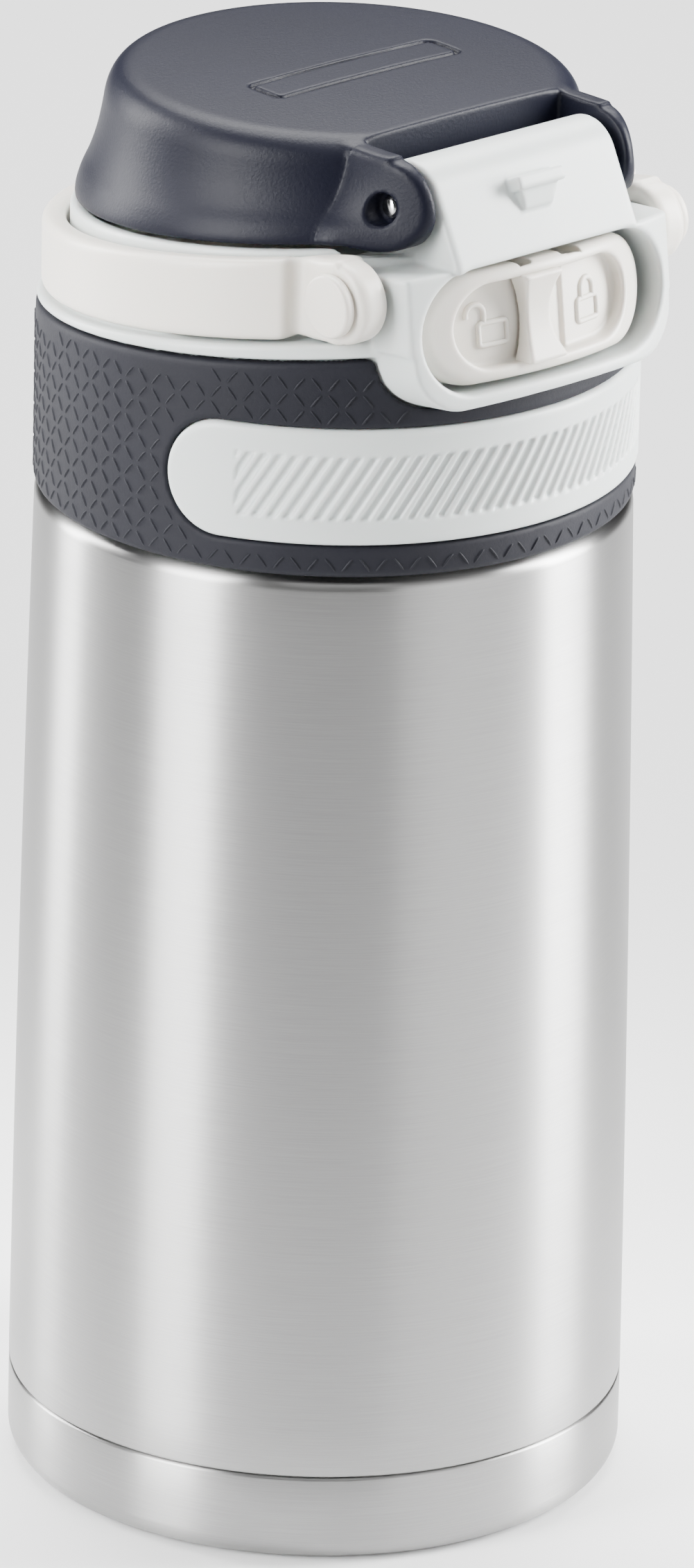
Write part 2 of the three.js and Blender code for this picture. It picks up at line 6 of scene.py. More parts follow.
import bpy
import numpy as np
from mathutils import Matrix, Vector


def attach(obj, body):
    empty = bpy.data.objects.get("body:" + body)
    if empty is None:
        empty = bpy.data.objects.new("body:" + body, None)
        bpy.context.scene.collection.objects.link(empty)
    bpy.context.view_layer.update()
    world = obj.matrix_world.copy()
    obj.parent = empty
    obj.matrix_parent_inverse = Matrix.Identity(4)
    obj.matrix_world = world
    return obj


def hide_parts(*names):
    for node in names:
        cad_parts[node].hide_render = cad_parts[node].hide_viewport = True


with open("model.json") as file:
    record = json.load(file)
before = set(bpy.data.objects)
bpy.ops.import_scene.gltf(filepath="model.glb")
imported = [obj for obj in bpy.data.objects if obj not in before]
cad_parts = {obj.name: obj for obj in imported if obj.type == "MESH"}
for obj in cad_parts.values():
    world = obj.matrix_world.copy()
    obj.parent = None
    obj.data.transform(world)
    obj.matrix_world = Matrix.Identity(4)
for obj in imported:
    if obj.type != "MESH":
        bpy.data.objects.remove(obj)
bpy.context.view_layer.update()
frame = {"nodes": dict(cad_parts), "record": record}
MM = 0.001

# ---------------------------------------------------------------- driving dimensions, in millimetres

FLASK = dict(cup_r=36.5, cup_h=10.9, corner=3.0, top_r=34.75, shoulder=121.5, neck_r=30.0, neck_top=138.5,
             inner_r=32.4, mouth_r=28.6, floor=13.0, wall=0.6)
LID = dict(skirt_r=33.0, bore_r=31.6, skirt_z=122.3, deck=140.4, deck_top=142.2, deck_hole=21.0,
           flange_r=34.8, flange_z=145.7, flange_top=147.0, drum_r=31.0, drum_bore=29.4, rim=157.3)
SLOPE = dict(sleeve=0.084, flange=0.105, rim=0.103, loop_top=0.130, cap_top=-0.02)
SLEEVE = dict(low=121.8, top=145.4, inner=33.3, outer=34.8)
PAD = dict(angle=math.radians(76), half=6.9, middle=132.6, inner=33.3, outer=35.1)
PIN = dict(y=-26.3, z=164.7, r=1.2)
BLOCK = dict(r=4.8, half=14.0, lean=math.radians(26.6))
EAR = dict(r=5.4, inner=14.7)
CAP = dict(bottom=157.8, span=13.2, wall=2.1, recess_y=-20.1)
FACE = dict(y=-36.2, z=151.3, lean=math.radians(7.4), curve=85.0)
POCKET = dict(half=18.5, r=7.2, depth=8.6)
BUTTON = dict(half=17.4, r=6.5, back=6.0, front=0.3, curve=38.0, recess=2.4, floor_half=13.1, floor_r=4.9)
SLIDER = dict(x=-1.8, half=2.3, height=4.6)
LOOP = dict(outer=34.2, inner=31.4, bottom=147.4, top=156.5, boss_r=4.8, boss_out=25.2, boss_in=21.1,
            y=-26.5, z=155.0, shaft=2.2, head=3.65)
SPOUT = dict(y=11.0, outer=9.0, bore=7.0, top=160.2, tray=150.6, tray_top=152.2)
VENT = dict(y=-8.0, outer=3.0, bore=1.2, top=158.0)
LOBE = dict(half=19.9, r=6.3, corner_z=-2.4)
LATCH = dict(y=-22.8, z=152.2, pin=0.7)
PLAQUE = dict(y=-2.0, half=14.0, depth=2.6)
ICON = dict(half_width=1.85, half_height=1.3, corner=0.4, bow=1.1, wire=0.33, proud=0.05)
DASH = dict(pitch=3.9, length=2.05, width=0.30, high=0.15, bow=0.10, across=0.62, along=0.78, sunk=0.05)
GAP = 0.3     # air left between two pieces that lie against each other


# ---------------------------------------------------------------- fields: below zero inside the piece

def blend_min(a, b, k):
    """The smaller of two fields, with a fillet of about k where they meet."""
    h = np.maximum(k - np.abs(a - b), 0) / k
    return np.minimum(a, b) - h * h * k / 4


def blend_max(a, b, k):
    """The larger of two fields, with its edge rounded by about k."""
    return -blend_min(-a, -b, k)


def hard_max(first, *others):
    """What is inside all of the fields, with sharp edges."""
    for other in others:
        first = np.maximum(first, other)
    return first


def hard_min(first, *others):
    """What is inside any of the fields, with sharp inner corners."""
    for other in others:
        first = np.minimum(first, other)
    return first


def round_max(k, first, *others):
    """What is inside all of the fields, with edges rounded by about k."""
    for other in others:
        first = blend_max(first, other, k)
    return first


def stadium(a, b, half, radius):
    """A flat outline with round ends, half its length along a."""
    return np.hypot(np.maximum(np.abs(a) - (half - radius), 0), b) - radius


def round_box(a, b, half_a, half_b, radius):
    """A flat rectangle with rounded corners."""
    qa, qb = np.abs(a) - half_a + radius, np.abs(b) - half_b + radius
    return np.hypot(np.maximum(qa, 0), np.maximum(qb, 0)) + np.minimum(np.maximum(qa, qb), 0) - radius


def ramp(value, low, high):
    """A smooth step from 0 at low to 1 at high."""
    t = np.clip((value - low) / (high - low), 0, 1)
    return t * t * (3 - 2 * t)


def to_face(y, z):
    """World y and z in the leaning front frame: depth behind the face, and height along it."""
    c, s = math.cos(FACE["lean"]), math.sin(FACE["lean"])
    dy, dz = y - FACE["y"], z - FACE["z"]
    return dy * c - dz * s, dy * s + dz * c


def sagitta(x, radius):
    """How far a curved face has fallen back at x from its middle."""
    return radius - np.sqrt(np.maximum(radius * radius - x * x, 1.0))


# ---------------------------------------------------------------- a field as a mesh

def surface(name, field, low, high, step):
    """Surface nets: one vertex in each grid cell that the surface crosses, then pulled onto it."""
    axes = [np.arange(low[i], high[i] + step, step, dtype=np.float64) for i in range(3)]
    values = field(axes[0][:, None, None], axes[1][None, :, None], axes[2][None, None, :])
    values = np.ascontiguousarray(np.broadcast_to(values, [len(a) for a in axes]), dtype=np.float32)
    inside = values < 0
    cells = [n - 1 for n in values.shape]
    count = np.zeros(cells, np.int8)
    corners = [(i, j, k) for i in (0, 1) for j in (0, 1) for k in (0, 1)]
    for i, j, k in corners:
        count += inside[i:i + cells[0], j:j + cells[1], k:k + cells[2]]
    found = np.argwhere((count > 0) & (count < 8))
    number = np.full(cells, -1, np.int64)
    number[tuple(found.T)] = np.arange(len(found))
    total, crossings = np.zeros((len(found), 3)), np.zeros(len(found))
    for a in corners:
        for axis in range(3):
            if a[axis]:
                continue
            b = tuple(a[i] + (i == axis) for i in range(3))
            va = values[tuple((found + a).T)].astype(np.float64)
            vb = values[tuple((found + b).T)].astype(np.float64)
            crossed = (va < 0) != (vb < 0)
            share = np.where(crossed, va / np.where(crossed, va - vb, 1), 0)
            point = np.array(a, float)[None] + 0 * share[:, None]
            point[:, axis] = share
            total += np.where(crossed[:, None], point, 0)
            crossings += crossed
    points = np.array(low, float) + (found + total / crossings[:, None]) * step
    points = settle(field, points, step)
    quads = []
    for axis in range(3):
        u, v = [i for i in range(3) if i != axis]
        first = [slice(None)] * 3
        second = [slice(None)] * 3
        first[axis], second[axis] = slice(0, -1), slice(1, None)
        edge = inside[tuple(first)] != inside[tuple(second)]
        at = np.argwhere(edge)
        at = at[(at[:, u] > 0) & (at[:, v] > 0) & (at[:, u] < cells[u]) & (at[:, v] < cells[v])]
        ring = []
        for du, dv in ((-1, -1), (0, -1), (0, 0), (-1, 0)):
            cell = at.copy()
            cell[:, u] += du
            cell[:, v] += dv
            ring.append(number[tuple(cell.T)])
        ring = np.stack(ring, 1)
        outward = inside[tuple(at.T)] ^ (axis == 1)
        ring[~outward] = ring[~outward][:, ::-1]
        quads.append(ring)
    return mesh_object(name, points, np.concatenate(quads))


def settle(field, points, step):
    """Pulls points onto the zero of a field along its slope."""
    for _ in range(3):
        x, y, z = points.T
        here = field(x, y, z)
        e = 0.02
        ahead = field(x + e, y, z), field(x, y + e, z), field(x, y, z + e)
        slope = np.stack([value - here for value in ahead], 1) / e
        move = -here[:, None] * slope / np.maximum((slope ** 2).sum(1), 0.1)[:, None]
        length = np.linalg.norm(move, axis=1)[:, None]
        points = points + move * np.minimum(1, 0.4 * step / np.maximum(length, 1e-9))
    return points


def mesh_object(name, points, faces):
    """A smooth-shaded piece from points in millimetres."""
    mesh = bpy.data.meshes.new(name)
    mesh.from_pydata((np.asarray(points) * MM).tolist(), [], np.asarray(faces).tolist())
    mesh.update()
    mesh.validate()
    mesh.shade_smooth()
    piece = bpy.data.objects.new(name, mesh)
    bpy.context.scene.collection.objects.link(piece)
    return piece


def turned(name, profile, sides=192, closed=False, move=None):
    """A profile of (radius, z) turned about Z; closed makes it a ring, else its ends are on the axis."""
    angles = np.linspace(0, 2 * np.pi, sides, endpoint=False)
    points, rows = [], []
    for radius, z in profile:
        if radius == 0:
            rows.append([len(points)] * sides)
            points.append((0, 0, z))
        else:
            rows.append(list(range(len(points), len(points) + sides)))
            points += [(radius * np.cos(a), radius * np.sin(a), z) for a in angles]
    faces = []
    pairs = list(zip(rows, rows[1:] + rows[:1])) if closed else list(zip(rows, rows[1:]))
    for low, high in pairs:
        for i in range(sides):
            j = (i + 1) % sides
            corners = [low[i], low[j], high[j], high[i]]
            faces.append([c for n, c in enumerate(corners) if c not in corners[:n]])
    points = np.array(points, float)
    if move is not None:
        points = move(points)
    mesh = bpy.data.meshes.new(name)
    mesh.from_pydata((points * MM).tolist(), [], faces)
    mesh.update()
    mesh.shade_smooth()
    piece = bpy.data.objects.new(name, mesh)
    bpy.context.scene.collection.objects.link(piece)
    return piece


def arc(a, b, radius, start, end, steps):
    """Points of an arc about (a, b), from one angle to another in degrees."""
    angles = np.radians(np.linspace(start, end, steps + 1))
    return [(a + radius * math.cos(t), b + radius * math.sin(t)) for t in angles]


# ---------------------------------------------------------------- lid housing

def block_frame(y, z):
    """Around the hinge pin: how far out of the block's leaning face, and how far up along it."""
    c, s = math.cos(BLOCK["lean"]), math.sin(BLOCK["lean"])
    dy, dz = y - PIN["y"], z - PIN["z"]
    return -c * dy + s * dz - BLOCK["r"], s * dy + c * dz


def hinge_block(x, y, z):
    """The block between the cap's ears: round over the pin, flat and leaning back in front."""
    out, up = block_frame(y, z)
    reach = np.hypot(y - PIN["y"], z - PIN["z"])
    behind = y - PIN["y"] - BLOCK["r"]
    wedge = hard_max(out, behind, up)
    profile = np.minimum(reach - BLOCK["r"], wedge)
    return round_max(0.7, profile, np.abs(x) - BLOCK["half"], 155.0 - z)


def rest_bump(x, y, z):
    """The ledge on the block that the open cap rests on, with a tapering gusset under it."""
    out, up = block_frame(y, z)
    ledge = round_max(0.3, out - 2.2, np.abs(x) - 3.5, up + 0.6, -up - 2.2, -out - 1.0)
    taper = np.abs(x) - 3.0 - 0.30 * (up + 2.0)
    gusset = round_max(0.3, out - 1.4 - 0.40 * (up + 2.0), taper, up + 1.0, -up - 4.4, -out - 1.0)
    return np.minimum(ledge, gusset)


def lobe_outline(x, up, half, radius):
    """The U-shaped outline that hangs below the button."""
    a, b = np.abs(x) - (half - radius), LOBE["corner_z"] - up
    return np.hypot(np.maximum(a, 0), np.maximum(b, 0)) + np.minimum(np.maximum(a, b), 0) - radius


def front_block(x, y, z):
    """The leaning front face with the lobe that hangs over the grip band."""
    depth, up = to_face(y, z)
    face = sagitta(x, FACE["curve"]) - depth
    lobe = lobe_outline(x, up, LOBE["half"], LOBE["r"])
    flank = np.abs(x) - np.clip(LOBE["half"] + (depth - 2.6) * 0.45, LOBE["half"], 20.6)
    shoulder = np.maximum(flank, -1.2 - up)
    outline = blend_min(lobe, shoulder, 1.2)
    return round_max(0.5, face, outline, up - 7.3 - 0.05 * depth, depth - 15.5)


def housing(x, y, z):
    """The lid's body: drum, flange, screw skirt, deck, front wall and hinge block."""
    r = np.hypot(x, y)
    rim = LID["rim"] - SLOPE["rim"] * y
    middle, half_wall = (LID["drum_r"] + LID["drum_bore"]) / 2, (LID["drum_r"] - LID["drum_bore"]) / 2
    drum = round_max(0.6, np.abs(r - middle) - half_wall, z - rim, 141.0 - z)
    drum = np.maximum(drum, -hard_max(np.abs(x) - 21, y + 19.6, 158.6 - z))
    flange = round_max(0.7, r - LID["flange_r"], LID["flange_z"] - SLOPE["sleeve"] * y - z,
                       z - LID["flange_top"] + SLOPE["flange"] * y)
    flange = np.maximum(flange, 29.6 - r)
    skirt = hard_max(round_max(0.4, r - LID["skirt_r"], LID["skirt_z"] - z), z - 148, LID["bore_r"] - r)
    deck = hard_max(r - 31, LID["deck"] - z, z - LID["deck_top"], LID["deck_hole"] - r)
    wall = hard_max(-16 - y, y + 14.6, np.abs(x) - 28, 142 - z, z - 156.5, r - 30)
    body = hard_min(blend_min(drum, flange, 1.0), skirt, deck, wall)
    block = np.maximum(blend_min(front_block(x, y, z), hinge_block(x, y, z), 0.4), 140.6 - z)
    body = blend_min(blend_min(body, block, 0.5), rest_bump(x, y, z), 0.15)
    return housing_cuts(x, y, z, r, body)


def housing_cuts(x, y, z, r, body):
    """The housing with its button pocket, latch chamber, pin tunnel, neck bore and loop seats cut out."""
    depth, up = to_face(y, z)
    out, _ = block_frame(y, z)
    reach = np.hypot(y - PIN["y"], z - PIN["z"])
    pocket = np.maximum(stadium(x, up, POCKET["half"], POCKET["r"]), depth - POCKET["depth"])
    body = blend_max(body, -pocket, 0.7)
    chamber = hard_max(np.abs(x) - 15.5, -26.2 - y, y + 16, 142.6 - z, z - 156.9)
    under_pin = hard_max(out + 1.5, z - PIN["z"] + 1, 158.8 - 0.22 * (y + 26) - z, y + 20)
    tunnel = np.maximum(np.minimum(reach - 3.3, under_pin), np.abs(x) - 11.5)
    throat = hard_max(np.abs(x) - 11.5, -26 - y, y + 16, 155 - z, z - PIN["z"] + 1)
    stem_slot = hard_max(np.abs(x) - 3, 8 - depth, depth - 12, -5.4 - up, up + 2)
    neck = np.maximum(r - LID["bore_r"], z - LID["deck"])
    seats = np.maximum(np.hypot(y - LOOP["y"], z - LOOP["z"]) - LOOP["boss_r"] - GAP, 20.8 - np.abs(x))
    bore = np.maximum(np.hypot(y - LOOP["y"], z - LOOP["z"]) - LOOP["shaft"] - GAP, 18.1 - np.abs(x))
    body = hard_max(body, -chamber, -tunnel, -throat, -stem_slot, -neck, -seats, -bore)
    bridges = hard_max(6 - np.abs(x), np.abs(x) - 28, -21 - y, y + 15.5, 155.1 - z, z - 156.5, r - 30)
    return np.minimum(body, bridges)


# ---------------------------------------------------------------- cap

def cap_height(y, z):
    """Height over the cap's bottom edge, with the shear that makes the edge rise to the front undone."""
    span = CAP["span"]
    tilt = (SLOPE["cap_top"] - SLOPE["rim"]) / span
    above = z - CAP["bottom"]
    height = (above + SLOPE["rim"] * y) / (1 - tilt * y)
    height = np.where(height < 0, above + SLOPE["rim"] * y, height)
    return np.where(height > span, above + SLOPE["cap_top"] * y, height)


def cap_radius(height):
    """Outside radius at a height over the bottom edge: a flare that stands on a short upright lip."""
    stations = [-4.0, 0.0, 1.0, 2.4, 4.4, 6.6, 8.8, 11.0, 14.0, 18.0]
    radii = [30.5, 30.5, 30.45, 30.0, 28.95, 28.1, 27.55, 27.15, 26.7, 26.2]
    return spline(height, stations, radii)


def spline(value, stations, values):
    """A smooth curve through the stations."""
    s, v = np.array(stations), np.array(values)
    slope = np.gradient(v, s)
    i = np.clip(np.searchsorted(s, value) - 1, 0, len(s) - 2)
    width = s[i + 1] - s[i]
    t = np.clip((value - s[i]) / width, 0, 1)
    start, end = (1 + 2 * t) * (1 - t) ** 2, t * t * (3 - 2 * t)
    start_slope, end_slope = t * (1 - t) ** 2, t * t * (t - 1)
    return start * v[i] + end * v[i + 1] + width * (start_slope * slope[i] + end_slope * slope[i + 1])


def cap_shell(x, y, z, inset):
    """The cap's body of revolution, or its inside at that wall thickness."""
    r = np.hypot(x, y)
    height = cap_height(y, z)
    side = r - cap_radius(height) + inset
    top = height - 14.15 + 0.55 * (r / 24) ** 2 + inset
    return blend_max(side, top, 3.4 if inset == 0 else 2.5), height


def cap_ears(x, y, z):
    """The two cheeks that reach forward to the hinge, round about the pin."""
    ahead = np.maximum(CAP["recess_y"] - 0.2 - y, 0)
    part_y = CAP["recess_y"] - 0.2
    part_x = np.sqrt(np.maximum(cap_radius(cap_height(part_y, z)) ** 2 - part_y ** 2, 200))
    level = 19.0 + (part_x - 19.0) / (1 + (ahead / 5.5) ** 2)
    cheek = (np.abs(x) - level + 0.038 * ahead ** 1.79) * 0.9
    below = np.minimum(z - PIN["z"], 0)
    disc = np.hypot(y - PIN["y"], z - PIN["z"] + 0.12 * below) - EAR["r"]
    web = hard_max(PIN["y"] - y, z - 170.45, -cap_height(y, z))
    profile = blend_min(disc, web, 0.8)
    return round_max(0.9, profile, cheek, EAR["inner"] - 2.0 - np.abs(x), y + 17.0)


def cap_body(x, y, z):
    """The hollow cap with its cheeks, the recess between them, the catch and the blank plate."""
    ax = np.abs(x)
    outer, height = cap_shell(x, y, z, 0.0)
    outer = blend_min(blend_max(outer, -height, 0.5), cap_ears(x, y, z), 0.35)
    inner, _ = cap_shell(x, y, z, CAP["wall"])
    inner = np.maximum(inner, -hard_max(ax - 17, y - CAP["recess_y"] - 1.8))
    shell = np.maximum(outer, -inner)
    recess = hard_max(ax - EAR["inner"] - 0.06 * np.maximum(z - 164, 0), y - CAP["recess_y"])
    shell = blend_max(shell, -recess, 0.5)
    tab = hard_max(ax - 3, CAP["recess_y"] - y, y + 18.6, 155.0 - z, z - 161)
    ledge = hard_max(ax - 3, -20.6 - y, y + 18.6, 155.0 - z, z - 155.9)
    shell = hard_min(shell, tab, ledge)
    reach = np.hypot(y - PIN["y"], z - PIN["z"])
    mouth = np.maximum(reach - 1.85, 16.6 - ax)
    shell = blend_max(shell, -np.minimum(reach - PIN["r"] - GAP, mouth), 0.3)
    plaque = stadium_plaque(x, y, z)
    seam = hard_max(np.abs(y - CAP["recess_y"] + 0.25) - 0.07, -outer - 0.10, EAR["inner"] + 0.4 - ax)
    return hard_max(blend_max(shell, -plaque, 0.25), -seam)


def stadium_plaque(x, y, z):
    """A shallow plain channel round a blank plate on the cap's top."""
    edge = round_box(x, y - PLAQUE["y"], PLAQUE["half"], PLAQUE["depth"], 0.9)
    top = 171.7 + 0.02 * y
    return hard_max(np.abs(edge) - 0.32, top - 0.42 - z)


# ---------------------------------------------------------------- loop, button, slider

def carry_loop(x, y, z):
    """The strap round the lid, straight along its two arms, with a boss at each pivot."""
    r, ax = np.hypot(x, y), np.abs(x)
    ring = round_max(0.5, r - LOOP["outer"], -20.4 - y)
    outer = blend_min(ring, np.maximum(ax - LOOP["boss_out"], y + 17.5), 1.6)
    inner = np.where(y < -23.25, LOOP["boss_in"] - ax, LOOP["inner"] - r)
    low = LOOP["bottom"] - SLOPE["flange"] * y - z
    high = z - LOOP["top"] + SLOPE["loop_top"] * y
    strap = np.maximum(round_max(1.1, outer, inner, low, high), LOOP["y"] - y)
    reach = np.hypot(y - LOOP["y"], z - LOOP["z"])
    passed = np.minimum(LOOP["y"] + reach, 0)
    drum = np.sqrt(LID["drum_r"] ** 2 - passed ** 2) + 1.5 * GAP
    relief = hard_max(np.abs(x) - drum, LOOP["boss_r"] - reach, z - LOOP["z"], y, reach - 21)
    strap = blend_max(strap, -relief, 0.3)
    boss = round_max(1.3, reach - LOOP["boss_r"], ax - LOOP["boss_out"], LOOP["boss_in"] - ax)
    return np.maximum(blend_min(strap, boss, 0.6), LOOP["shaft"] + GAP - reach)


def button_body(x, y, z):
    """The button: a domed stadium with a dish whose right half is raised, and a stem behind."""
    depth, up = to_face(y, z)
    spread = np.hypot(x, depth - BUTTON["front"] - BUTTON["curve"])
    rim = round_max(1.5, stadium(x, up, BUTTON["half"], BUTTON["r"]), spread - BUTTON["curve"])
    body = round_max(0.4, rim, depth - BUTTON["back"])
    plate = 0.45 * ramp(x, 2.9, 3.2)
    dish = blend_max(stadium(x, up, BUTTON["floor_half"], BUTTON["floor_r"]),
                     BUTTON["curve"] - BUTTON["recess"] + plate - spread, 0.6)
    body = blend_max(body, -dish, 0.7)
    notches = hard_max(np.minimum(np.abs(x + 3.4) - 0.9, np.abs(x - 3.6) - 1.5), 5.6 - up, 1.0 - depth)
    body = blend_max(body, -notches, 0.2)
    stem = hard_max(np.abs(x) - 2.5, 5.5 - depth, depth - 12.4, -4.9 - up, up + 2.5)
    return np.minimum(body, stem)


def slider_body(x, y, z):
    """The rib across the dish, with a hollow front for the thumb and flared ends."""
    depth, up = to_face(y, z)
    dx = x - SLIDER["x"]
    front = -0.5 + 1.5 * np.clip(1 - (up / 4.7) ** 2, 0, 1)
    flare = 0.45 - 0.9 * (np.abs(up) / SLIDER["height"]) ** 2
    side, end = np.abs(dx) - SLIDER["half"] + flare, np.abs(up) - SLIDER["height"] - 0.5
    rib = round_max(0.5, side, end, front - depth)
    return np.maximum(rib, depth - 2.4)


# ---------------------------------------------------------------- grip band and pad

def pill(angle, z, margin):
    """The pad's outline on the band, by angle from the front and height."""
    half_length = PAD["angle"] * PAD["outer"] + margin
    return stadium(angle * PAD["outer"], z - PAD["middle"], half_length, PAD["half"] + margin)


def grip_sleeve(x, y, z):
    """The soft band, cut away under the front lobe and round the pad."""
    r, angle = np.hypot(x, y), np.arctan2(x, -y)
    band = round_max(0.8, r - SLEEVE["outer"], SLEEVE["low"] - z, z - SLEEVE["top"] + SLOPE["sleeve"] * y)
    band = np.maximum(band, SLEEVE["inner"] - r)
    depth, up = to_face(y, z)
    lobe = np.maximum(lobe_outline(x, up, LOBE["half"] + 0.25, LOBE["r"] + 0.25), depth - 14)
    band = blend_max(band, -lobe, 0.4)
    return blend_max(band, -pill(angle, z, 0.15), 0.4)


def grip_pad(x, y, z):
    """The pad in front, with leaning ribs along its middle."""
    r, angle = np.hypot(x, y), np.arctan2(x, -y)
    edge = pill(angle, z, 0.0)
    up, along = z - PAD["middle"], angle * PAD["outer"]
    wave = 0.5 + 0.5 * np.cos(2 * np.pi * (along - 0.62 * up) / 1.78)
    field = ramp(-edge, 2.9, 3.4) * ramp(62 - np.degrees(np.abs(angle)), 0, 1.0)
    plate = round_max(0.9, edge, r - PAD["outer"] - 0.42 * (ramp(wave, 0.25, 0.85) - 1) * field)
    return np.maximum(plate, PAD["inner"] - r)


# ---------------------------------------------------------------- turned pieces

def along_y(distance):
    """A move along Y for a turned piece that stands off the mug's axis."""
    return lambda points: points + np.array([0.0, distance, 0.0])


def steel_body():
    """The outer wall: body, rolled shoulder, neck, its inside and the spigot in the base cup."""
    f = FLASK
    seam = f["cup_h"] + 0.12
    levels = np.linspace(seam + 0.4, f["shoulder"] - 1.6, 24)
    share = (levels - levels[0]) / (levels[-1] - levels[0])
    radii = f["cup_r"] + (f["top_r"] - f["cup_r"]) * share + 0.8 * share * (1 - share)
    outer = list(zip(radii, levels))
    shoulder = arc(f["top_r"] - 1.4, f["shoulder"] - 1.6, 1.4, 12, 90, 8)
    neck = [(f["neck_r"] + 0.6, f["shoulder"] - 0.2), (f["neck_r"], f["shoulder"] + 0.5),
            (f["neck_r"], f["neck_top"])]
    back = [(f["neck_r"] - f["wall"], f["neck_top"]), (f["neck_r"] - f["wall"], f["shoulder"] - 1.0),
            (f["top_r"] - 1.6, f["shoulder"] - 1.4), (f["top_r"] - 0.7, f["shoulder"] - 2.6)]
    inside = [(r - f["wall"], z) for r, z in outer[::-4]]
    foot = [(f["cup_r"] - 1.8, seam + 0.7), (f["cup_r"] - 1.8, 4.0),
            (f["cup_r"] - 1.2, 4.0), (f["cup_r"] - 1.2, seam)]
    lip = [(f["cup_r"] - 0.35, seam), (f["cup_r"] - 0.08, seam + 0.12)]
    return turned("fine_outer_shell", outer + shoulder + neck + back + inside + foot + lip, 256, closed=True)


def steel_cup():
    """The base cup, with the chamfer of the seam at its top."""
    f = FLASK
    c = f["corner"]
    outer = [(0, 0), (8, 0), (16, 0), (24, 0), (30, 0)] + arc(f["cup_r"] - c, c, c, -90, 0, 14)
    top = [(f["cup_r"], 6.0), (f["cup_r"], f["cup_h"] - 0.35), (f["cup_r"] - 0.08, f["cup_h"] - 0.12),
           (f["cup_r"] - 0.35, f["cup_h"]), (f["cup_r"] - f["wall"], f["cup_h"])]
    inner = arc(f["cup_r"] - c, c, c - f["wall"], 0, -90, 10)
    return turned("fine_base_cup", outer + top + inner + [(20, f["wall"]), (0, f["wall"])], 256)


def steel_inside():
    """The inner vessel, with its lip folded over the neck."""
    f = FLASK
    c, wall, top = 6.0, f["wall"], f["neck_top"]
    outer = [(0, f["floor"])] + arc(f["inner_r"] - c, f["floor"] + c, c, -90, 0, 10)
    outer += [(f["inner_r"], 60), (f["inner_r"], 111), (f["inner_r"] - 0.5, 113), (f["mouth_r"] + 0.5, 117),
              (f["mouth_r"], 119), (f["mouth_r"], top - 0.5), (f["mouth_r"] + 0.3, top + 0.3)]
    lip = [(f["neck_r"] - 0.2, top + 0.3), (f["neck_r"], top + 0.5), (f["neck_r"] - 0.2, top + 0.85),
           (f["neck_r"] - 0.6, top + 1.0), (f["mouth_r"] - 0.2, top + 1.0), (f["mouth_r"] - wall, top + 0.6)]
    inner = [(f["mouth_r"] - wall, 119.2), (f["mouth_r"] - 0.1, 117.2), (f["inner_r"] - 1.1, 113.2),
             (f["inner_r"] - wall, 111.2), (f["inner_r"] - wall, 60)]
    inner += arc(f["inner_r"] - c, f["floor"] + c, c - wall, 0, -90, 10) + [(0, f["floor"] + wall)]
    return turned("fine_inner_vessel", outer + lip + inner, 192)


def screw_ridge(name, root, tip, z, turns=1.5, pitch=4.0):
    """A rounded helical ridge that runs out smoothly at both ends."""
    steps, section = 160, 8
    points, faces = [], []
    for i in range(steps + 1):
        t = i / steps
        angle = 2 * math.pi * turns * t
        rise = min(1.0, 12 * t, 12 * (1 - t))
        for k in range(section + 1):
            s = k / section * 2 - 1
            radius = root + (tip - root) * rise * max(0.0, 1 - s * s) ** 0.6
            height = z + pitch * turns * t + 0.85 * s
            points.append((radius * math.cos(angle), radius * math.sin(angle), height))
    for i in range(steps):
        for k in range(section):
            a = i * (section + 1) + k
            quad = [a, a + 1, a + section + 2, a + section + 1]
            faces.append(quad if tip > root else quad[::-1])
    return mesh_object(name, points, faces)


def build_turned():
    """The round pieces, each under the name of the CAD node that it stands for."""
    at_spout, at_vent = along_y(SPOUT["y"]), along_y(VENT["y"])
    bore = SPOUT["bore"] + 0.3
    rim = FLASK["mouth_r"] - FLASK["wall"] - GAP
    spout_seal = [(0, 158.0), (5.2, 158.0), (6.0, 158.4), (6.3, 159.0), (6.3, 160.3), (6.6, 160.5),
                  (9.1, 160.5), (9.4, 160.8), (9.4, 162.7), (0, 162.7)]
    vent_seal = [(0, 158.3), (2.6, 158.3), (3.0, 158.6), (3.2, 159.1), (3.2, 162.7), (0, 162.7)]
    mouth_gasket = [(bore, 140.4), (9.0, 140.4), (9.2, 140.7), (8.8, 141.2), (9.2, 141.7), (8.8, 142.5),
                    (bore, 142.5)]
    neck_gasket = [(26.1, 134.9), (rim - 0.5, 134.9), (rim, 135.4), (rim - 0.45, 136.0), (rim, 136.8),
                   (rim - 0.5, 137.7), (26.1, 137.7)]
    return {
        "outer_shell": [steel_body(), screw_ridge("neck_thread", 29.9, 31.1, 125.0)],
        "base_cup": [steel_cup()],
        "inner_vessel": [steel_inside()],
        "spout_seal": [turned("fine_spout_seal", spout_seal, 96, move=at_spout)],
        "vent_seal": [turned("fine_vent_seal", vent_seal, 64, move=at_vent)],
        "mouthpiece_gasket": [turned("fine_mouthpiece_gasket", mouth_gasket, 96, True, at_spout)],
        "neck_gasket": [turned("fine_neck_gasket", neck_gasket, 160, True)],
    }


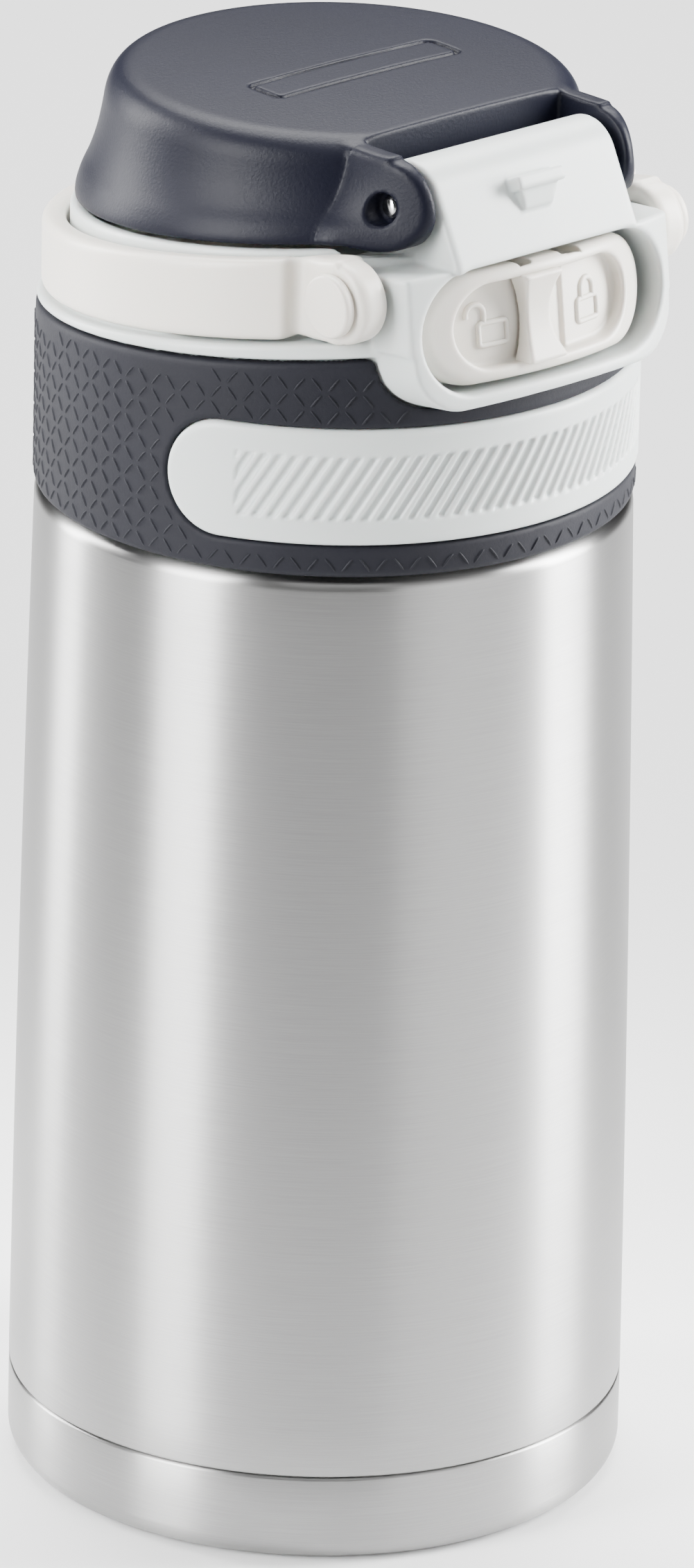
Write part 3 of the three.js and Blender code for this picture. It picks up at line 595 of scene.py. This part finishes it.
def mouthpiece(x, y, z):
    """The drinking tray with the spout and the vent tube standing in it."""
    r = np.hypot(x, y)
    tube_r, vent_r = np.hypot(x, y - SPOUT["y"]), np.hypot(x, y - VENT["y"])
    rim = LID["drum_bore"] - 0.4
    tray = hard_max(r - rim, SPOUT["tray"] - z, -14.2 - y)
    cup = hard_max(tray, z - 153.6)
    cup = np.maximum(cup, -round_max(0.8, r - rim + 1.2, SPOUT["tray_top"] - z))
    tray = np.maximum(tray, z - SPOUT["tray_top"])
    top = SPOUT["top"] - z
    tube = round_max(0.9, tube_r - SPOUT["outer"] - 0.05 * np.maximum(top - 3, 0) ** 0.5, -top, 142.8 - z)
    vent = round_max(0.5, vent_r - VENT["outer"], z - VENT["top"], 140.5 - z)
    body = blend_min(blend_min(hard_min(tray, cup), tube, 1.2), vent, 0.8)
    body = blend_max(body, SPOUT["bore"] - tube_r, 0.9)
    return np.maximum(body, VENT["bore"] - vent_r)


def liner(x, y, z):
    """The plate and collar inside the cap that hold the seals."""
    r = np.hypot(x, y)
    plate = round_max(0.4, r - 24.0, 163.0 - z, z - 164.4)
    collar = hard_max(np.abs(r - 21.6) - 0.7, 164.0 - z, z - 169.0)
    return round_max(0.4, np.minimum(plate, collar), -17.6 - y)


def stopper(x, y, z):
    """The plug in the neck, with a groove for the gasket and the two ways through."""
    r = np.hypot(x, y)
    body = round_max(0.5, r - 27.25, 131.6 - z, z - 140.1)
    body = blend_max(body, -np.maximum(r - 25, z - 138.6), 0.5)
    body = np.maximum(body, -hard_max(25.8 - r, 134.6 - z, z - 138.0))
    body = np.maximum(body, SPOUT["bore"] - np.hypot(x, y - SPOUT["y"]))
    return np.maximum(body, 2 - np.hypot(x, y - VENT["y"]))


def latch_lever(x, y, z):
    """The lever on its pin, with the nose that holds the cap's catch."""
    dy, dz = y - LATCH["y"], z - LATCH["z"]
    arm = hard_max(np.abs(dy + 0.2) - 0.7, 145.3 - z, z - 157.6)
    nose = hard_max(-0.6 - dy, dy - 1.9, 156.3 - z, z - 157.6)
    body = hard_min(arm, nose, np.hypot(dy, dz) - 1.9)
    return hard_max(round_max(0.35, body, np.abs(x) - 3), LATCH["pin"] + GAP - np.hypot(dy, dz))


def build_fields():
    """The pieces that are drawn as fields. Each is as fine as its smallest rounding needs."""
    fine, coarse = ((0.22, 0.34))
    work = {
        "lid_housing": (housing, [-36, -39, 121.5], [36, 36, 171], coarse),
        "flip_cap": (cap_body, [-31.5, -33.5, 153.5], [31.5, 31.5, 173], coarse * 0.9),
        "carry_loop": (carry_loop, [-36, -33, 142], [36, 36, 162], coarse),
        "grip_sleeve": (grip_sleeve, [-36, -36, 121], [36, 36, 149.5], coarse * 1.2),
        "grip_pad": (grip_pad, [-36, -36.5, 125], [36, -6, 140.4], fine * 1.2),
        "release_button": (button_body, [-18.5, -39, 143], [18.5, -23, 160], fine),
        "mouthpiece": (mouthpiece, [-30, -30, 140], [30, 30, 161], coarse * 1.3),
        "cap_liner": (liner, [-25, -19, 162.5], [25, 25, 169.6], coarse * 1.3),
        "inner_stopper": (stopper, [-28, -28, 131], [28, 28, 140.7], coarse * 1.3),
        "latch_lever": (latch_lever, [-3.6, -25, 145], [3.6, -20, 158], fine),
        "lock_slider": (slider_body, [-5, -39, 145], [1.5, -29, 157.5], fine * 0.7),
    }
    return {name: surface("fine_" + name, *job) for name, job in work.items()}


def rod_x(name, radius, y, z, low, high, chamfer, sides=48):
    """A rod along X with chamfered ends."""
    profile = [(0, low), (radius - chamfer, low), (radius, low + chamfer), (radius, high - chamfer),
               (radius - chamfer, high), (0, high)]
    return turned(name, profile, sides, move=lambda p: np.stack([p[:, 2], y + p[:, 0], z + p[:, 1]], 1))


def icon(name, loops):
    """Raised outline drawn on the button's dished floor: loops of (x, up) points, each open or closed."""
    curve = bpy.data.curves.new(name, "CURVE")
    curve.dimensions = "3D"
    curve.bevel_depth = ICON["wire"] * MM
    curve.bevel_resolution = 3
    for points, closed in loops:
        line = curve.splines.new("POLY")
        line.points.add(len(points) - 1)
        line.use_cyclic_u = closed
        for at, (x, up) in zip(line.points, points):
            raised = 0.45 if x > 3 else 0.0
            radius = BUTTON["curve"] - BUTTON["recess"] + raised
            depth = BUTTON["front"] + BUTTON["curve"] - math.sqrt(radius ** 2 - x * x)
            at.co = (*from_face(x, depth - ICON["proud"], up), 1)
    piece = bpy.data.objects.new(name, curve)
    bpy.context.scene.collection.objects.link(piece)
    return piece


def from_face(x, depth, up):
    """A point of the leaning front frame in metres."""
    c, s = math.cos(FACE["lean"]), math.sin(FACE["lean"])
    return x * MM, (FACE["y"] + depth * c + up * s) * MM, (FACE["z"] - depth * s + up * c) * MM


def padlock(name, x, up, opened):
    """A plain padlock outline: a body with rounded corners and a shackle, closed or swung open."""
    w, h, r, bow = ICON["half_width"], ICON["half_height"], ICON["corner"], ICON["bow"]
    body = []
    for cx, cz, start in ((w - r, h - r, 0), (r - w, h - r, 90), (r - w, r - h, 180), (w - r, r - h, 270)):
        body += arc(x + cx, up - h + cz, r, start, start + 90, 4)
    foot, bend = x - bow, up + 1.2
    shackle = [(foot, up + 0.1), (foot, bend)]
    if opened:
        shackle += arc(foot - bow, bend, bow, 0, 180, 10) + [(foot - 2 * bow, up + 0.8)]
    else:
        shackle += arc(x, bend, bow, 180, 0, 10) + [(x + bow, up + 0.1)]
    return icon(name, [(body, True), (shackle, False)])


def embossing():
    """Short raised dashes on the grip band, laid along crossing circles into a net of diamonds."""
    points, faces = [], []
    radius = SLEEVE["outer"]
    columns = int(2 * math.pi * radius / DASH["pitch"])
    for row in range(14):
        z = SLEEVE["low"] + 1.6 + row * DASH["pitch"] / 2
        for column in range(columns * 2):
            angle = (column / 2 + 0.25) * 2 * math.pi / columns - math.pi
            lean = 1 if (row + column) % 2 else -1
            if dash_fits(radius * math.sin(angle), -radius * math.cos(angle), z, angle):
                add_dash(points, faces, angle, z, lean)
    return mesh_object("grip_embossing", points, faces)


def add_dash(points, faces, angle, z, lean):
    """One dash: seven stations along it, four points across, sunk at the edges and ends."""
    radius, start = SLEEVE["outer"], len(points)
    across, along, sunk = DASH["across"], DASH["along"], DASH["sunk"]
    for t in np.linspace(-1, 1, 7):
        rise = DASH["high"] * math.sqrt(max(0.0, 1 - t ** 4))
        bow = DASH["bow"] * (1 - t * t)
        reach = t * DASH["length"] / 2
        for side, lift in ((-1, -sunk), (-0.45, rise), (0.45, rise), (1, -sunk)):
            aside = side * DASH["width"] / 2
            a = angle + (reach * across * lean + aside * along) / radius
            out = radius + (lift if lift > 0 else -sunk)
            height = z + reach * along - aside * across * lean + bow
            points.append((out * math.sin(a), -out * math.cos(a), height))
    for i in range(6):
        for k in range(3):
            a = start + i * 4 + k
            faces.append((a, a + 1, a + 5, a + 4))


def dash_fits(x, y, z, angle):
    """True where the whole dash lies on the band and clear of the pad and the lobe."""
    if z > SLEEVE["top"] - SLOPE["sleeve"] * y - 1.6 or z < SLEEVE["low"] + 1.4:
        return False
    if float(pill(np.float64(angle), np.float64(z), 0)) < 1.2:
        return False
    _, up = to_face(y, z)
    return not (y < 0 and lobe_outline(x, up, LOBE["half"], LOBE["r"]) < 1.5)


# ---------------------------------------------------------------- materials

def shader(name, color, roughness, metallic=0.0):
    """A material, its shader node, and helpers that add a node and join two sockets."""
    material = bpy.data.materials.new(name)
    material.use_nodes = True
    tree = material.node_tree
    main = tree.nodes["Principled BSDF"]
    main.inputs["Base Color"].default_value = (*color, 1)
    main.inputs["Roughness"].default_value = roughness
    main.inputs["Metallic"].default_value = metallic

    def node(kind, **settings):
        made = tree.nodes.new(kind)
        for key, value in settings.items():
            if key in made.inputs:
                made.inputs[key].default_value = value
            else:
                setattr(made, key, value)
        return made

    return material, main, node, tree.links.new


def plastic(name, color, roughness, grain=2600.0, bump=0.04, mottle=0.03, specular=0.5, subsurface=0.0):
    """Moulded plastic: fine grain in the surface and a faint unevenness in colour and gloss."""
    material, main, node, join = shader(name, color, roughness)
    place = node("ShaderNodeTexCoord")
    fine = node("ShaderNodeTexNoise", Scale=grain, Detail=3.0, Roughness=0.6)
    broad = node("ShaderNodeTexNoise", Scale=60.0, Detail=3.0, Roughness=0.5)
    join(place.outputs["Object"], fine.inputs["Vector"])
    join(place.outputs["Object"], broad.inputs["Vector"])
    tone = node("ShaderNodeValToRGB")
    tone.color_ramp.elements[0].color = (*[c * (1 - mottle) for c in color], 1)
    tone.color_ramp.elements[1].color = (*[min(1, c * (1 + mottle)) for c in color], 1)
    tone.color_ramp.elements[0].position, tone.color_ramp.elements[1].position = 0.3, 0.7
    join(broad.outputs["Fac"], tone.inputs["Fac"])
    join(tone.outputs["Color"], main.inputs["Base Color"])
    gloss = node("ShaderNodeMapRange")
    gloss.inputs["To Min"].default_value = roughness - 0.04
    gloss.inputs["To Max"].default_value = roughness + 0.05
    join(fine.outputs["Fac"], gloss.inputs["Value"])
    join(gloss.outputs["Result"], main.inputs["Roughness"])
    relief = node("ShaderNodeBump", Strength=bump * 5, Distance=0.00006)
    join(fine.outputs["Fac"], relief.inputs["Height"])
    join(relief.outputs["Normal"], main.inputs["Normal"])
    main.inputs["Specular IOR Level"].default_value = specular
    main.inputs["Subsurface Weight"].default_value = subsurface
    main.inputs["Subsurface Scale"].default_value = 0.002
    return material


def brushed(name, color, roughness, streak=0.07):
    """Steel brushed round the axis: streaks that are long round the body and fine along it."""
    material, main, node, join = shader(name, color, roughness, 1.0)
    place = node("ShaderNodeTexCoord")
    split = node("ShaderNodeSeparateXYZ")
    join(place.outputs["Object"], split.inputs["Vector"])
    angle = node("ShaderNodeMath", operation="ARCTAN2")
    join(split.outputs["X"], angle.inputs[0])
    join(split.outputs["Y"], angle.inputs[1])
    around = node("ShaderNodeCombineXYZ")
    join(angle.outputs["Value"], around.inputs["X"])
    join(split.outputs["Z"], around.inputs["Y"])
    stretch = node("ShaderNodeMapping")
    stretch.inputs["Scale"].default_value = (3.2, 6500.0, 1.0)
    join(around.outputs["Vector"], stretch.inputs["Vector"])
    lines = node("ShaderNodeTexNoise", Scale=1.0, Detail=5.0, Roughness=0.65)
    join(stretch.outputs["Vector"], lines.inputs["Vector"])
    tone = node("ShaderNodeValToRGB")
    tone.color_ramp.elements[0].color = (*[c * (1 - streak) for c in color], 1)
    tone.color_ramp.elements[1].color = (*[min(1, c * (1 + streak)) for c in color], 1)
    tone.color_ramp.elements[0].position, tone.color_ramp.elements[1].position = 0.32, 0.68
    join(lines.outputs["Fac"], tone.inputs["Fac"])
    join(tone.outputs["Color"], main.inputs["Base Color"])
    gloss = node("ShaderNodeMapRange")
    gloss.inputs["To Min"].default_value = roughness - 0.06
    gloss.inputs["To Max"].default_value = roughness + 0.08
    join(lines.outputs["Fac"], gloss.inputs["Value"])
    join(gloss.outputs["Result"], main.inputs["Roughness"])
    relief = node("ShaderNodeBump", Strength=0.12, Distance=0.00003)
    join(lines.outputs["Fac"], relief.inputs["Height"])
    join(relief.outputs["Normal"], main.inputs["Normal"])
    main.inputs["Anisotropic"].default_value = 0.92
    main.inputs["Anisotropic Rotation"].default_value = 0.25
    tangent = node("ShaderNodeTangent", direction_type="RADIAL", axis="Z")
    join(tangent.outputs["Tangent"], main.inputs["Tangent"])
    return material


def build_materials():
    """Every material of the mug by its slot."""
    return {
        "brushed_steel": brushed("brushed_steel", (0.35, 0.348, 0.344), 0.34),
        "inner_steel": brushed("inner_steel", (0.55, 0.55, 0.55), 0.38, 0.06),
        "getter_metal": plastic("getter_metal", (0.35, 0.34, 0.32), 0.5),
        "polished_steel": brushed("polished_steel", (0.72, 0.72, 0.72), 0.16, 0.04),
        "pale_grey_plastic": plastic("pale_grey_plastic", (0.55, 0.585, 0.575), 0.36, mottle=0.012, bump=0.02,
                                     subsurface=0.06),
        "soft_grip": plastic("soft_grip", (0.0085, 0.0088, 0.0130), 0.60, bump=0.10, mottle=0.10,
                             specular=0.19),
        "off_white_plastic": plastic("off_white_plastic", (0.70, 0.665, 0.605), 0.34, mottle=0.012, bump=0.02,
                                     subsurface=0.06),
        "charcoal_plastic": plastic("charcoal_plastic", (0.0042, 0.0047, 0.0108), 0.44, bump=0.12,
                                    mottle=0.08, specular=0.15),
        "silicone": plastic("silicone", (0.74, 0.75, 0.74), 0.55, mottle=0.02, subsurface=0.1),
    }


# ---------------------------------------------------------------- assembly

SLOTS = {
    "brushed_steel": ["base_cup", "outer_shell"],
    "inner_steel": ["inner_vessel", "vacuum_base_plate"],
    "getter_metal": ["getter"],
    "polished_steel": ["hinge_pin", "hinge_spring", "button_spring_right", "button_spring_left", "latch_pin"],
    "pale_grey_plastic": ["lid_housing", "grip_pad", "cap_liner"],
    "soft_grip": ["grip_sleeve"],
    "off_white_plastic": ["carry_loop", "loop_pivot_right", "loop_pivot_left", "release_button",
                          "lock_slider", "mouthpiece", "inner_stopper", "latch_lever"],
    "charcoal_plastic": ["flip_cap"],
    "silicone": ["neck_gasket", "mouthpiece_gasket", "spout_seal", "vent_seal"],
}


def assemble():
    """Puts each fine piece on its body in place of its CAD node, and gives the rest their materials."""
    materials = build_materials()
    slot_of = {node: slot for slot, nodes in SLOTS.items() for node in nodes}
    body_of = {node: body for body, nodes in frame["record"]["behaviour"]["bodies"].items() for node in nodes}
    fine = {name: [piece] for name, piece in build_fields().items()}
    fine.update(build_turned())
    fine["grip_sleeve"].append(embossing())
    fine["release_button"] += [padlock("unlock_icon", -6.9, 0.0, True), padlock("lock_icon", 7.4, 0.0, False)]
    for side, name in ((1, "right"), (-1, "left")):
        fine["loop_pivot_" + name] = [pivot_disc(name, side)]
    fine["hinge_pin"] = [rod_x("fine_hinge_pin", PIN["r"], PIN["y"], PIN["z"], -17.2, 17.2, 0.3)]
    for node, pieces in fine.items():
        for piece in pieces:
            piece.data.materials.append(materials[slot_of[node]])
            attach(piece, body_of[node])
        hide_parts(node)
    for node, piece in frame["nodes"].items():
        if node not in fine:
            piece.data.materials.clear()
            piece.data.materials.append(materials[slot_of[node]])


def pivot_disc(name, side):
    """The headed pin that the loop turns on."""
    y, z, out = LOOP["y"], LOOP["z"], LOOP["boss_out"]
    r, head = LOOP["shaft"], LOOP["head"]
    profile = [(0, 18.4), (r, 18.4), (r, out + GAP)] + [(head - 0.1, out + GAP), (head, out + GAP + 0.15)]
    profile += arc(head - 0.45, out + 1.05, 0.45, 0, 90, 6) + [(head * 0.5, out + 1.5), (0, out + 1.5)]
    return turned("fine_loop_pivot_" + name, profile, 96,
                  move=lambda p: np.stack([side * p[:, 2], y + p[:, 0], z + p[:, 1]], 1))


# ---------------------------------------------------------------- camera, light and floor

CAMERA = dict(focal=253.862, away=1.2088, height=0.5485, azimuth=math.radians(43),
              pan=math.radians(0.11), pitch=math.radians(21.035), roll=math.radians(1.33))


def build_camera():
    """A long lens in front and to the left of the button, looking down at the mug."""
    c = CAMERA
    forward = Vector((math.sin(c["pan"]) * math.cos(c["pitch"]), math.cos(c["pan"]) * math.cos(c["pitch"]),
                      -math.sin(c["pitch"])))
    level = Vector((math.cos(c["pan"]), -math.sin(c["pan"]), 0))
    up = level.cross(forward)
    right = level * math.cos(c["roll"]) + up * math.sin(c["roll"])
    up = up * math.cos(c["roll"]) - level * math.sin(c["roll"])
    turn = Matrix.Rotation(-c["azimuth"], 3, "Z")
    axes = Matrix([turn @ right, turn @ up, turn @ -forward]).transposed()
    place = turn @ Vector((0, -c["away"], c["height"]))
    lens = bpy.data.cameras.new("camera")
    lens.sensor_fit, lens.sensor_height, lens.lens = "VERTICAL", 36, c["focal"]
    lens.clip_start, lens.clip_end = 0.05, 50
    camera = bpy.data.objects.new("camera", lens)
    camera.matrix_world = Matrix.Translation(place) @ axes.to_4x4()
    bpy.context.scene.collection.objects.link(camera)
    bpy.context.scene.camera = camera
    camera.data.dof.use_dof = False


def softbox(name, azimuth, away, height, width, tall, power, spread=180):
    """A soft light that faces the mug. Azimuth 0 is in front of the button, -90 to its left.
    away and height are in metres, spread in degrees."""
    light = bpy.data.lights.new(name, "AREA")
    light.shape, light.size, light.size_y, light.energy = "RECTANGLE", width, tall, power
    light.spread = math.radians(spread)
    lamp = bpy.data.objects.new(name, light)
    angle = math.radians(azimuth)
    place = Vector((away * math.sin(angle), -away * math.cos(angle), height))
    lamp.location = place
    lamp.rotation_euler = (Vector((0, 0, 0.08)) - place).to_track_quat("-Z", "Y").to_euler()
    lamp.visible_camera = False
    bpy.context.scene.collection.objects.link(lamp)


def build_studio():
    """A pale floor, a faint even surround and six softboxes."""
    mesh = bpy.data.meshes.new("floor")
    size = 6.0
    corners = [(-size, -size, 0), (size, -size, 0), (size, size, 0), (-size, size, 0)]
    mesh.from_pydata(corners, [], [(0, 1, 2, 3)])
    floor = bpy.data.objects.new("floor", mesh)
    bpy.context.scene.collection.objects.link(floor)
    material, _, _, _ = shader("floor_paper", (0.93, 0.93, 0.93), 0.9)
    mesh.materials.append(material)
    world = bpy.data.worlds.new("studio")
    world.use_nodes = True
    world.node_tree.nodes["Background"].inputs["Color"].default_value = (0.95, 0.97, 1.0, 1)
    world.node_tree.nodes["Background"].inputs["Strength"].default_value = 0.035
    bpy.context.scene.world = world
    softbox("left_softbox", -94, 0.22, 0.16, 0.09, 0.30, 0.46, 80)
    softbox("right_softbox", 50, 0.22, 0.16, 0.09, 0.30, 0.85, 80)
    softbox("rim_softbox", -152, 0.24, 0.16, 0.06, 0.30, 0.40, 80)
    softbox("front_softbox", 6, 0.30, 0.17, 0.28, 0.28, 0.17, 80)
    softbox("back_softbox", 137, 0.60, 1.10, 1.0, 0.8, 40)
    softbox("top_softbox", -40, 0.30, 1.0, 0.5, 0.5, 2.0)


assemble()
build_camera()
build_studio()
